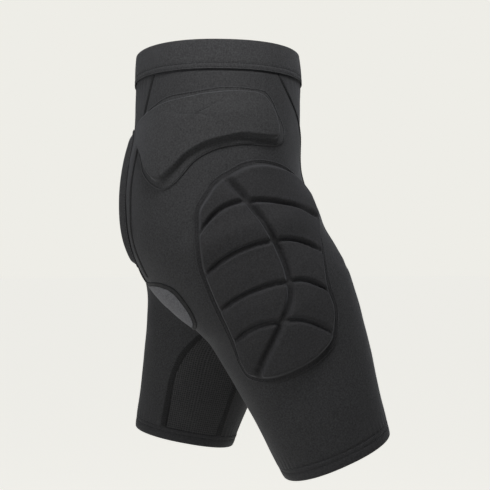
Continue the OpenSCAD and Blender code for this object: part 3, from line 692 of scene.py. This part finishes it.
# ---- Hip pads -----------------------------------------------------------------------------
# A kidney of soft foam over each hip bone under a cover of brushed stretch knit. The cover is
# sewn down round its rim and the foam stands up inside it, so the cover is drawn over it.
HIP_OUTLINE = [(86, 64), (68, 45), (62, 33), (59, 17), (55, 2), (55, -11), (57, -22), (66, -28), (81, -33),
               (97, -38), (109, -39), (117, -35), (120, -24), (119, -11), (121, -1), (126, 7), (135, 15),
               (150, 23), (157, 29), (158, 35), (152, 43), (141, 51), (130, 55), (112, 63)]
HIP_RISE = [(90, 61), (73, 41), (67, 24), (62, 6), (60, -4), (61, -17), (68, -23), (81, -28), (97, -31),
            (108, -31), (112, -28), (112, -16), (111, -7), (115, 1), (120, 9), (126, 15), (132, 20),
            (141, 25), (149, 31), (151, 35), (148, 40), (138, 47), (128, 51), (112, 59)]
HIP_MIDDLE = (88, 16)
PAD_BASE = 1.9
FLANGE_THICK = 0.9
STITCH_RISE = 1.15
PUFF_FRAMES = 14


def even_loop(outline, count, place):
    """Smooth closed line with its points evenly spaced on the worn surface."""
    fine = loop(outline, 1200)
    at = place(fine)
    ends = np.concatenate([at, at[:1]])
    run = np.concatenate([[0], np.cumsum(np.linalg.norm(np.diff(ends, axis=0), axis=1))])
    closed = np.concatenate([fine, fine[:1]])
    want = np.linspace(0, run[-1], count, endpoint=False)
    return np.stack([np.interp(want, run, closed[:, 0]), np.interp(want, run, closed[:, 1])], -1)


def clear_of(points, line):
    """Distance of each point from a line of points."""
    flat = points.reshape(-1, 3)
    out = np.empty(len(flat))
    for first in range(0, len(flat), 4000):
        part = flat[first:first + 4000]
        out[first:first + 4000] = np.sqrt(((part[:, None] - line[None]) ** 2).sum(-1)).min(1)
    return out.reshape(points.shape[:-1])


def inside(spots, line):
    """Whether each (depth, angle) spot lies inside a closed line."""
    v, th = spots[..., 0, None], spots[..., 1, None]
    v0, th0 = line[:, 0], line[:, 1]
    v1, th1 = np.roll(v0, -1), np.roll(th0, -1)
    crossed = (th0 > th) != (th1 > th)
    cut = v0 + (th - th0) * (v1 - v0) / np.where(th1 == th0, 1e-9, th1 - th0)
    return (crossed & (v < cut)).sum(-1) % 2 == 1


def pad_spots(outline, middle, rings, count, place):
    """Grid from the middle out to the outline: rows are rings, the last on the outline."""
    edge_line = even_loop(outline, count, place)
    share = (np.linspace(0, 1, rings) ** 0.85)[:, None, None]
    share[0] = 0.004
    return np.array(middle) + share * (edge_line[None] - np.array(middle))


def puffed(obj, held, pressure, cap):
    """Cloth under pressure: the points not held swell, and none moves further than cap metres."""
    start = np.array([p.co for p in obj.data.vertices])
    pins = obj.vertex_groups.new(name="sewn")
    for i in np.nonzero(held > 0.01)[0]:
        pins.add([int(i)], float(held[i]), "REPLACE")
    cloth = obj.modifiers.new("puff", "CLOTH")
    settings = cloth.settings
    settings.quality = 6
    settings.mass = 0.3
    settings.tension_stiffness = 18
    settings.compression_stiffness = 18
    settings.shear_stiffness = 6
    settings.bending_stiffness = 0.6
    settings.use_pressure = True
    settings.uniform_pressure_force = pressure
    settings.effector_weights.gravity = 0
    settings.vertex_group_mass = "sewn"
    settings.pin_stiffness = 4
    cloth.collision_settings.use_collision = False
    cloth.point_cache.frame_start = 1
    cloth.point_cache.frame_end = PUFF_FRAMES
    for step in range(1, PUFF_FRAMES + 1):
        scene.frame_set(step)
    evaluated = obj.evaluated_get(bpy.context.evaluated_depsgraph_get())
    end = np.array([p.co for p in evaluated.data.vertices])
    obj.modifiers.remove(cloth)
    scene.frame_set(1)
    obj.vertex_groups.clear()
    move = end - start
    length = np.linalg.norm(move, axis=1, keepdims=True)
    move *= np.minimum(1, cap / np.maximum(length, 1e-9))
    obj.data.vertices.foreach_set("co", (start + move).astype(np.float32).ravel())
    obj.data.update()


def rounder(obj):
    """One subdivision applied to the mesh."""
    finer = obj.modifiers.new("finer", "SUBSURF")
    finer.levels = 1
    finer.render_levels = 1
    finer.use_limit_surface = False
    made = bpy.data.meshes.new_from_object(obj.evaluated_get(bpy.context.evaluated_depsgraph_get()))
    obj.modifiers.clear()
    made.name = obj.data.name
    obj.data = made


def ring_solid(name, outer, inner, finish, uv=None):
    """Closed solid between two ring grids, each closed at its middle, joined round the last ring."""
    rings, count = outer.shape[:2]
    below = rings * count
    faces = cells(rings, count, True) + [f[::-1] for f in cells(rings, count, True, below)]
    a = below - count
    faces += [[a + j, a + (j + 1) % count, a + below + (j + 1) % count, a + below + j]
              for j in range(count)]
    faces += [list(range(count - 1, -1, -1)), [below + j for j in range(count)]]
    return piece(name, np.concatenate([outer.reshape(-1, 3), inner.reshape(-1, 3)]), faces, uv, finish)


def pad_shell(name, spots, lift, top, low, finish, held, pressure, cap):
    """Closed pad over a ring grid: a top at its heights, an underside, and a cloth puff between."""
    outer = lift(spots, top)
    uv = np.concatenate([outer.reshape(-1, 3)[:, [1, 2]]] * 2)
    obj = ring_solid(name, outer, lift(spots, low), finish, uv)
    puffed(obj, np.concatenate([held.ravel(), np.ones(top.size)]), pressure, cap)
    rounder(obj)
    return obj


def stitch_row(body, spots, distance, offset, lift, height):
    """Row of stitches where the pad's distance field is nearest to an offset from its rim."""
    row = np.argmin(np.abs(distance - offset), axis=0)
    stitch_lines.append((body, [lift(spots[r, j], np.array(height)) for j, r in enumerate(row)]))


def on_side(side):
    return lambda p: worn(side, p[..., 0], p[..., 1])


def lift_side(side):
    return lambda p, h: lifted(side, p[..., 0], p[..., 1], h)


hip_knit = textile("hip_pad_knit", (0.032, 0.032, 0.033), wales=7200.0, courses=6400.0, relief=0.4,
                   uneven=0.1, bump=0.3, sheen=0.16)
foam = textile("closed_cell_foam", (0.16, 0.16, 0.17), wales=500.0, courses=500.0, relief=0.1, uneven=0.3,
               bump=0.5, sheen=0.0, on_cut=False)
stitch_lines = []


def foam_core(name, node, spots, lift, top, keep, body):
    """Foam inside a cover: its top lies just under the cover's, its foot on the lining."""
    rows = [r for r in range(0, len(spots), 2) if keep[r]]
    thick = np.clip(top[rows] - 1.6, 0.6, None)
    obj = ring_solid(name, lift(spots[rows], PAD_BASE + thick), lift(spots[rows], PAD_BASE + 0.3 + 0 * thick),
                     foam)
    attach(obj, body)
    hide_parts(node)


for side, word in SIDES.items():
    spots = pad_spots(HIP_OUTLINE, HIP_MIDDLE, 44, 150, on_side(side))
    at = worn(side, spots[..., 0], spots[..., 1])
    rise_line = loop(HIP_RISE, 300)
    inset = clear_of(at, on_side(side)(rise_line)) * np.where(inside(spots, rise_line), 1, -1)
    wall = smooth(-0.8, 3.2, inset) ** 0.8
    top = FLANGE_THICK + 8.0 * wall + 1.2 * smooth(3, 30, inset)
    held = smooth(0.4, -0.6, inset)
    pad = pad_shell(word.capitalize() + "_hip_pad", spots, lift_side(side), PAD_BASE + top,
                    PAD_BASE - 0.5 + 0 * top, hip_knit, held, 2.2, 0.0028)
    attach(pad, "hips")
    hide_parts(word + "_hip_pad_cover")
    foam_core(word.capitalize() + "_hip_foam", word + "_hip_foam", spots, lift_side(side), top,
              (inset.min(1) > 2.0), "hips")
    stitch_row("hips", spots, clear_of(at, at[-1]), 2.0, lift_side(side), PAD_BASE + STITCH_RISE)

# ---- Tailbone pad -------------------------------------------------------------------------
# A long narrow pad of the same make down the middle of the seat.
TAIL_CENTRE = 170
TAIL_LENGTH = 166
TAIL_REACH = 15
turns = np.radians(22.5 * np.arange(16))
TAIL_OUTLINE = np.stack([TAIL_CENTRE + TAIL_LENGTH / 2 * np.cos(turns),
                         TAIL_REACH * rounded(np.sin(turns))], -1)


def tail_knot(p):
    return np.where(p[..., 1] < 0, -1, 1), p[..., 0], middle_angle(p[..., 0]) - np.abs(p[..., 1])


def on_tail(p):
    return worn(*tail_knot(p))


def lift_tail(p, h):
    return lifted(*tail_knot(p), h)


spots = pad_spots(TAIL_OUTLINE, (TAIL_CENTRE, 0), 30, 120, on_tail)
at = on_tail(spots)
inset = clear_of(at, at[-1])
flange = 5.0
taper = 1 - 0.75 * np.abs((spots[..., 0] - TAIL_CENTRE) / (TAIL_LENGTH / 2)) ** 2.6
top = FLANGE_THICK + 6.4 * taper * smooth(flange, flange + 8.0, inset) ** 0.8
held = smooth(flange + 0.8, flange - 0.8, inset)
pad = pad_shell("Tailbone_pad", spots, lift_tail, PAD_BASE + top, PAD_BASE - 0.5 + 0 * top, hip_knit, held,
                2.2, 0.0028)
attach(pad, "hips")
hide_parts("tail_pad_cover")
foam_core("Tailbone_foam", "tail_foam", spots, lift_tail, top, (inset.min(1) > flange + 2.5), "hips")
stitch_row("hips", spots, inset, 3.4, lift_tail, PAD_BASE + STITCH_RISE)

# ---- Thigh pads ---------------------------------------------------------------------------
# A large oval pad over the outside of each thigh. Ten foam blocks in two columns lie under one
# cover, pressed down between them along a curved spine and arched cross channels.
THIGH_OUTLINE = [(136, -22), (138, -9), (147, 0), (156, 6), (168, 11), (180, 16), (193, 18), (212, 22),
                 (229, 26), (254, 31), (289, 40), (322, 48), (345, 51), (358, 50), (367, 41), (373, 29),
                 (375, 15), (374, 0), (369, -12), (359, -24), (344, -30), (324, -35), (301, -36), (275, -42),
                 (242, -52), (212, -56), (187, -58), (161, -53), (144, -40)]
SPINE = [(0, 156, 0), (1, 183, -8), (2, 230, -13), (3, 279, -9), (4, 314, 3), (5, 361, 37)]
REAR_RIBS = [(203, 16), (240, 25), (280, 35), (318, 45)]
FORE_RIBS = [(221, -48), (271, -41), (314, -34), (353, -24)]
THIGH_MIDDLE = (256, -6)
UNDERLAY = 0.8
ARCH = 9.0
BLOCK = 9
# The thigh pads' cover is the hip pads' knit made darker: painted shade, for the light from above that fades
# down the leg.
thigh_knit_painted_shade = textile("pad_cover_knit", (0.022, 0.0216, 0.0228), wales=7200.0, courses=6400.0, relief=0.4,
                   uneven=0.1, bump=0.3, sheen=0.16)


def spine_at(t):
    """Spot on the curved spine; t counts the channels from the top."""
    return np.stack([curve([(k, v) for k, v, _ in SPINE], t), curve([(k, th) for k, _, th in SPINE], t)], -1)


def arch(e):
    """Rise of a cross channel between the spine and the rim."""
    return ARCH * 4 * e * (1 - e) * (1 - 0.35 * e)


def rib(row, rim_spot):
    """Line of a cross channel, arched from the spine out to the rim."""
    e = np.linspace(0, 1, 60)[:, None]
    return mix(spine_at(float(row)), np.array(rim_spot, float), e) - np.array([1, 0]) * arch(e)


for side, word in SIDES.items():
    body = word + "_leg"
    spots = pad_spots(THIGH_OUTLINE, THIGH_MIDDLE, 60, 220, on_side(side))
    at = worn(side, spots[..., 0], spots[..., 1])
    inset = clear_of(at, at[-1])
    spine = spine_at(np.linspace(0.05, 4.95, 240))
    from_spine = clear_of(at, worn(side, spine[:, 0], spine[:, 1]))
    from_rib = np.full(inset.shape, 99.0)
    for row in (1, 2, 3, 4):
        for rim_spot in (REAR_RIBS[row - 1], FORE_RIBS[row - 1]):
            line = rib(row, rim_spot)
            near = clear_of(at, worn(side, line[:, 0], line[:, 1]))
            from_rib = np.minimum(from_rib, near + 1.2 * smooth(22, 9, inset))
    flange = 5.6
    wall = smooth(flange, flange + 5.0, inset) ** 0.85
    cut = np.minimum(smooth(2.0, 4.8, from_spine), smooth(0.9, 3.7, from_rib))
    full = wall * mix(0.1, 1, cut)
    top = FLANGE_THICK + UNDERLAY + 6.6 * full + 0.8 * wall * smooth(4, 20, np.minimum(from_rib, from_spine))
    held = np.maximum(smooth(flange + 1, flange - 1, inset), 1 - smooth(0.05, 0.35, cut))
    pad = pad_shell(word.capitalize() + "_thigh_pad", spots, lift_side(side), PAD_BASE + top,
                    PAD_BASE - 0.4 + 0 * top, thigh_knit_painted_shade, held, 1.6, 0.0018)
    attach(pad, body)
    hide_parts(word + "_thigh_pad_cover")
    for offset in (2.2, 4.4):
        stitch_row(body, spots, inset, offset, lift_side(side), PAD_BASE + UNDERLAY + 1.12)
    blocks = []
    block_faces = []
    for row in range(5):
        for ribs, ends in ((REAR_RIBS, ((165, 9), (352, 46))), (FORE_RIBS, ((158, -42), (367, 8)))):
            rim_line = [ends[0], *ribs, ends[1]]
            e = np.linspace(0.12, 0.74, BLOCK)[None, :]
            first, last = (0.4 if row == 0 else 0.13), (0.6 if row == 4 else 0.87)
            t = np.linspace(row + first, row + last, BLOCK)[:, None]
            from_line = spine_at(t)
            rim_v = curve([(k, p[0]) for k, p in enumerate(rim_line)], t)
            rim_th = curve([(k, p[1]) for k, p in enumerate(rim_line)], t)
            v = mix(from_line[..., 0], rim_v, e) - arch(e)
            th = mix(from_line[..., 1], rim_th, e)
            fall = np.sin(np.pi * np.linspace(0, 1, BLOCK))
            edge_fall = np.minimum(fall[:, None], fall[None, :])
            rise = PAD_BASE + UNDERLAY + 1.4 + 3.0 * smooth(0, 0.5, edge_fall)
            grid = np.concatenate([lifted(side, v, th, rise).reshape(-1, 3),
                                   lifted(side, v, th, PAD_BASE + UNDERLAY + 0 * rise).reshape(-1, 3)])
            half = BLOCK * BLOCK
            base = 2 * half * len(blocks)
            block_faces += cells(BLOCK, BLOCK, False, base)
            block_faces += [f[::-1] for f in cells(BLOCK, BLOCK, False, base + half)]
            around_block = [base + k for k in rim(BLOCK, BLOCK)[0]]
            block_faces += [[a, b, b + half, a + half] for a, b in zip(around_block, around_block[1:])]
            blocks.append(grid)
    core = piece(word.capitalize() + "_thigh_foam", np.concatenate(blocks), block_faces, None, foam)
    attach(core, body)
    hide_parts(word + "_thigh_foam")

# ---- Seams and stitches -------------------------------------------------------------------
# Flat seams of dark tape join the panels, most of them under a cover of zigzag thread. The same
# thread runs in rows of short stitches along the band, the hems, the gusset wings and the flanges
# of the pads.
tape = textile("seam_tape", (0.012, 0.012, 0.0125), wales=7000.0, courses=5200.0, relief=0.8, bump=0.5,
               sheen=0.06)
thread = textile("seam_thread", (0.020, 0.020, 0.021), wales=5000.0, courses=5000.0, relief=0.6, bump=0.5,
                 sheen=0.1, on_cut=False)
zigzags = []


def angle_per_mm(side, v, th):
    """Degrees round a ring to a millimetre of its surface."""
    return 2 / np.linalg.norm(worn(side, v, th + 1) - worn(side, v, th - 1), axis=-1)


def bind_near(obj, points, v, th):
    """Finds each vertex's leg share from the nearest point (m), given by depth and angle, and bakes the
    piece's transform; the shares are not used.
    """
    near = KDTree(len(points))
    for i, point in enumerate(points):
        near.insert(point, i)
    near.balance()
    shares = leg_share(v, th).ravel()
    bind(obj, [shares[near.find(p.co)[1]] for p in obj.data.vertices])


def seam_tape(name, side, v, th, width, low, high, level=False):
    """Flat seam along a line; level seams take their width in depth, the others in angle."""
    across = np.linspace(-1, 1, 7)[None, :]
    half = (width / 2 + 0 * v)[:, None]
    th_grid = th[:, None] + across * half * (0 if level else 1) * angle_per_mm(side, v, th)[:, None]
    v_grid = v[:, None] + across * half * (1 if level else 0)
    crown = 0.35 * (1 - across ** 2) + 0.1 * np.cos(across * 9)
    give = creases(side, v_grid, th_grid) * 0.9
    return cloth_sheet(name, side, v_grid, th_grid, low + give, high + give + crown, tape,
                       uv=np.stack([across * half * MM, v_grid * MM + 0 * across], -1))


line = around[3:-3, 0]
edge_v = middle_depth(line) + gusset_reach(line)
edge_th = np.where(line <= 180, line, line - 360)
wing_round = np.concatenate([wing_edge, wing_edge[:1]])
across = np.linspace(-1, 1, 7)
wing_ring = wing_round[:, None] + (0.03 + 0.07 * across[:, None]) * (wing_round[:, None] - WING_MIDDLE)
pucker = 0.25 * np.sin(np.append(wing_turn, 2 * np.pi) * 22)[:, None]
for side, word in SIDES.items():
    for label, seam, end in (("front", FRONT_SEAM, FRONT_END), ("rear", REAR_SEAM, REAR_END)):
        v = np.linspace(BAND_FOOT + 0.8, end - 2, 110)
        obj = seam_tape(word.capitalize() + "_" + label + "_seam", side, v, curve(seam, v), 5.0,
                        FABRIC_THICK, 1.6)
        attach(obj, "hips")
        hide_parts(word + "_" + label + "_seam")
        zigzags.append(("hips", side, v, curve(seam, v), 1.6, 1.95))
    inner = []
    for edge_angle in (notch_rear, notch_front):
        v = np.linspace(337, LEG_END - 0.6, 90)
        inner.append(seam_tape("strip", side, v, edge_angle(v), 7.6 * smooth(325, 350, v), 1.15, 1.7))
        v = np.linspace(348, LEG_END - 1.5, 90)
        zigzags.append((word + "_leg", side, v, edge_angle(v), 2.6, 2.05))
    v = np.linspace(root_edge(INNER_SEAM) + 1, 340, 20)
    inner.append(seam_tape("strip", side, v, INNER_SEAM + 0 * v, 3.2, 1.15, 1.5))
    bpy.ops.object.select_all(action="DESELECT")
    for o in inner:
        o.select_set(True)
    bpy.context.view_layer.objects.active = inner[0]
    bpy.ops.object.join()
    obj = inner[0]
    obj.name = word.capitalize() + "_inner_seams"
    bind_near(obj, worn(side, side_v, side_th).reshape(-1, 3) * MM, side_v, side_th)
    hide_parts(word + "_inner_seams")
    v, th = wing_ring[..., 0], wing_ring[..., 1]
    give = creases(side, v, th)
    obj = cloth_sheet(word.capitalize() + "_wing_seam", side, v, th, give + FABRIC_THICK,
                      give + 1.9 + (0.7 + pucker) * (1 - across ** 2), tape,
                      uv=np.stack([v * MM, np.radians(th) * CUT_RADIUS * MM], -1))
    bind(obj, np.tile(leg_share(v, th).ravel(), 2))
    rim_strip = seam_tape(word.capitalize() + "_gusset_seam", side, edge_v, edge_th, 4.0,
                          FABRIC_THICK, 1.55, True)
    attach(rim_strip, "hips")


def thread_tree(name, sizes):
    """Geometry Nodes tree along a line: its node maker, linker, inputs and the line as a curve."""
    tree = bpy.data.node_groups.new(name, "GeometryNodeTree")
    kinds = [("Line", "Geometry"), *((label, "Float") for label in sizes), ("Thread", "Material")]
    for label, kind in kinds:
        tree.interface.new_socket(label, in_out="INPUT", socket_type="NodeSocket" + kind)
    tree.interface.new_socket("Sewn", in_out="OUTPUT", socket_type="NodeSocketGeometry")
    make, tie = tree.nodes.new, tree.links.new
    given = make("NodeGroupInput")
    line_node = make("GeometryNodeMeshToCurve")
    tie(given.outputs["Line"], line_node.inputs[0])
    return tree, make, tie, given, line_node


def dressed(make, tie, given, shape):
    """Ends a tree: instances made real, and the thread's material set."""
    real = make("GeometryNodeRealizeInstances")
    tie(shape, real.inputs[0])
    dress = make("GeometryNodeSetMaterial")
    tie(real.outputs[0], dress.inputs["Geometry"])
    tie(given.outputs["Thread"], dress.inputs["Material"])
    tie(dress.outputs[0], make("NodeGroupOutput").inputs[0])


STITCHES, make, tie, given, line_node = thread_tree("stitches", ("Spacing", "Length", "Radius"))
even = make("GeometryNodeResampleCurve")
even.mode = "LENGTH"
tie(line_node.outputs[0], even.inputs["Curve"])
tie(given.outputs["Spacing"], even.inputs["Length"])
bit = make("GeometryNodeMeshCylinder")
bit.inputs["Vertices"].default_value = 6
tie(given.outputs["Radius"], bit.inputs["Radius"])
tie(given.outputs["Length"], bit.inputs["Depth"])
heading = make("GeometryNodeInputTangent")
turned = make("FunctionNodeAlignRotationToVector")
turned.axis = "Z"
tie(heading.outputs[0], turned.inputs["Vector"])
placed = make("GeometryNodeInstanceOnPoints")
tie(even.outputs[0], placed.inputs["Points"])
tie(bit.outputs["Mesh"], placed.inputs["Instance"])
tie(turned.outputs[0], placed.inputs["Rotation"])
dressed(make, tie, given, placed.outputs[0])

ZIGZAG, make, tie, given, line_node = thread_tree("zigzag", ("Radius",))
ring_node = make("GeometryNodeCurvePrimitiveCircle")
ring_node.inputs["Resolution"].default_value = 5
tie(given.outputs["Radius"], ring_node.inputs["Radius"])
tube = make("GeometryNodeCurveToMesh")
tie(line_node.outputs[0], tube.inputs["Curve"])
tie(ring_node.outputs[0], tube.inputs["Profile Curve"])
tube.inputs["Fill Caps"].default_value = True
dressed(make, tie, given, tube.outputs[0])


def sewn(name, tree, lines, body, **sizes):
    """Threads along lines (points, closed), made a plain mesh that rides on a body if one is named."""
    points, edges = [], []
    for line, closed in lines:
        first = len(points)
        points += [tuple(p) for p in line]
        edges += [(first + i, first + i + 1) for i in range(len(line) - 1)]
        if closed:
            edges.append((first + len(line) - 1, first))
    guide = bpy.data.meshes.new(name)
    guide.from_pydata(points, edges, [])
    obj = bpy.data.objects.new(name, guide)
    scene.collection.objects.link(obj)
    grow = obj.modifiers.new("sewn", "NODES")
    grow.node_group = tree
    sizes["Thread"] = thread
    for item in tree.interface.items_tree:
        if item.in_out == "INPUT" and item.name in sizes:
            grow[item.identifier] = sizes[item.name]
    made = bpy.data.meshes.new_from_object(obj.evaluated_get(bpy.context.evaluated_depsgraph_get()))
    obj.modifiers.clear()
    obj.data = made
    made.name = name
    if body:
        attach(obj, body)
    return obj


short = {"hips": [], "right_leg": [], "left_leg": []}
for body, line in stitch_lines:
    short[body].append((line, True))
turns = -90 + np.arange(480) * 0.75
for row in BAND_ROWS:
    line = lifted(np.where(turns <= 90, -1, 1), row, np.where(turns <= 90, turns, 180 - turns), 2.78)
    short["hips"].append((line, True))
turns = -180 + np.arange(300) * 1.2
for side, word in SIDES.items():
    short[word + "_leg"].append((lifted(side, HEM_ROW, turns, 1.35), True))
cover = {"hips": [], "right_leg": [], "left_leg": []}
for body, side, v, th, half, rise in zigzags:
    at = worn(side, v, th)
    run = np.concatenate([[0], np.cumsum(np.linalg.norm(np.diff(at, axis=0), axis=1))])
    count = int(run[-1] / 1.5)
    share = np.interp(np.linspace(0, run[-1], count), run, np.arange(len(v)))
    v_at = np.interp(share, np.arange(len(v)), v)
    th_at = np.interp(share, np.arange(len(v)), th)
    aside = half * np.where(np.arange(count) % 2, 1, -1) * angle_per_mm(side, v_at, th_at)
    give = creases(side, v_at, th_at) * 0.9
    cover[body].append((lifted(side, v_at, th_at + aside, rise + give + 0.15), False))
v, th = wing_round.T
for side, word in SIDES.items():
    line = lifted(side, v, th, creases(side, v, th) + 2.7)
    obj = sewn(word.capitalize() + "_wing_stitches", STITCHES, [(line[:-1], True)], None,
               Spacing=0.003, Length=0.0024, Radius=0.0004)
    bind_near(obj, line, v, th)
for body, lines in short.items():
    sewn("Stitches_" + body, STITCHES, lines, body, Spacing=0.0033, Length=0.0024, Radius=0.00034)
for body, lines in cover.items():
    sewn("Seam_cover_" + body, ZIGZAG, lines, body, Radius=0.00024)
